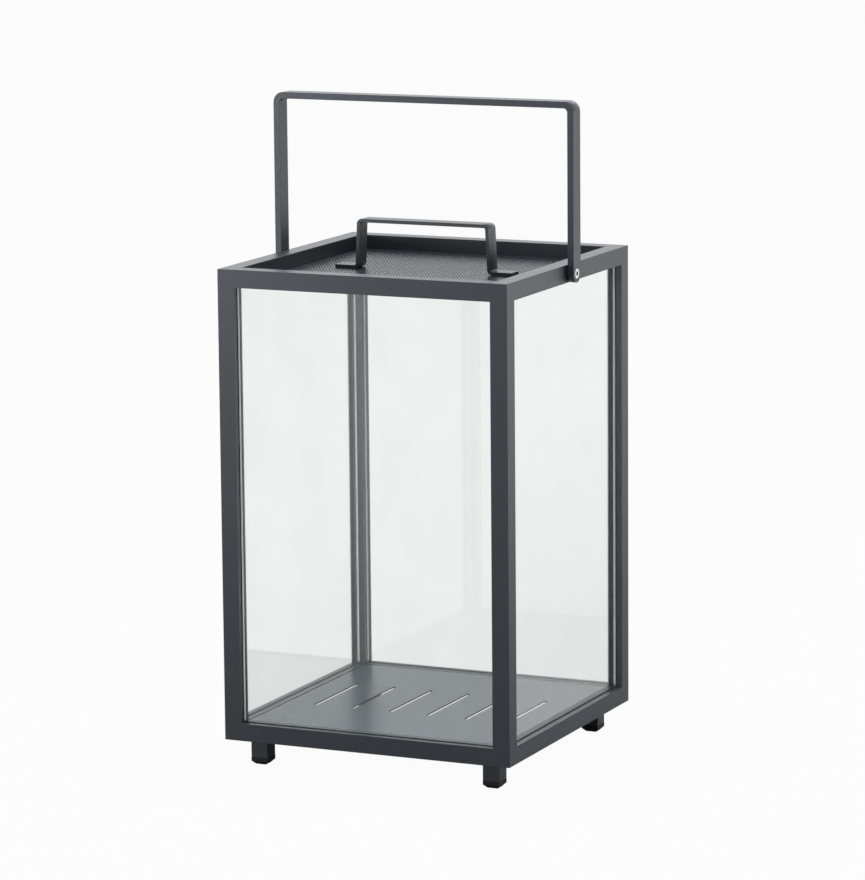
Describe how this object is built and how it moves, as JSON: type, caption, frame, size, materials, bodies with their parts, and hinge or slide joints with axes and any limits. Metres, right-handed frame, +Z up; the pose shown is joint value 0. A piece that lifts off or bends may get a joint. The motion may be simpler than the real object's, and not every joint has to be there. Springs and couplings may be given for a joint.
{
  "type": "candle lantern",
  "caption": "Square glazed candle lantern: charcoal metal frame, glass walls, slotted base on short legs, lift-off perforated lid with strip handle, and a swinging flat-bar bail.",
  "frame": {"origin": "on the floor under the middle of the lantern, at the underside of the glides", "axes": "+Z up, front glass towards -Y, bail pivots along X"},
  "size_m": [0.274, 0.26, 0.5565],
  "materials": {
    "charcoal_coat": "aluminium section with a satin charcoal powder coat",
    "tray_coat": "aluminium sheet with a satin charcoal powder coat",
    "lid_coat": "finely perforated aluminium sheet with a charcoal powder coat",
    "clear_glass": "clear float glass with a faint green tint",
    "grey_gasket": "grey silicone rubber channel",
    "black_plastic": "moulded black plastic",
    "stainless_steel": "bare stainless steel",
    "bare_aluminium": "bare aluminium rivets"
  },
  "bodies": {
    "frame": {"top_rail_front": "charcoal_coat", "bottom_rail_front": "charcoal_coat", "glass_front": "clear_glass", "gasket_front": "grey_gasket", "lid_ledge_front": "charcoal_coat", "top_rail_right": "charcoal_coat", "bottom_rail_right": "charcoal_coat", "glass_right": "clear_glass", "gasket_right": "grey_gasket", "lid_ledge_right": "charcoal_coat", "top_rail_back": "charcoal_coat", "bottom_rail_back": "charcoal_coat", "glass_back": "clear_glass", "gasket_back": "grey_gasket", "lid_ledge_back": "charcoal_coat", "top_rail_left": "charcoal_coat", "bottom_rail_left": "charcoal_coat", "glass_left": "clear_glass", "gasket_left": "grey_gasket", "lid_ledge_left": "charcoal_coat", "post_front_left": "charcoal_coat", "leg_front_left": "charcoal_coat", "glide_front_left": "black_plastic", "post_front_right": "charcoal_coat", "leg_front_right": "charcoal_coat", "glide_front_right": "black_plastic", "post_back_right": "charcoal_coat", "leg_back_right": "charcoal_coat", "glide_back_right": "black_plastic", "post_back_left": "charcoal_coat", "leg_back_left": "charcoal_coat", "glide_back_left": "black_plastic", "base_tray": "tray_coat", "tray_rivets": "bare_aluminium", "pivot_insert_left": "stainless_steel", "pivot_washer_left": "black_plastic", "pivot_screw_left": "stainless_steel", "pivot_insert_right": "stainless_steel", "pivot_washer_right": "black_plastic", "pivot_screw_right": "stainless_steel"},
    "bail": {"bail": "charcoal_coat"},
    "lid": {"lid_sheet": "lid_coat", "lid_handle": "charcoal_coat", "lid_screws": "stainless_steel"}
  },
  "joints": [
    {"name": "bail_swing", "type": "hinge", "parent": "frame", "child": "bail", "pos_m": [0, 0, 0.414], "axis": [1, 0, 0], "range_deg": [-101, 101]},
    {"name": "lid_lift", "type": "slide", "parent": "frame", "child": "lid", "axis": [0, 0, 1], "range_m": [0, 0.09]}
  ]
}
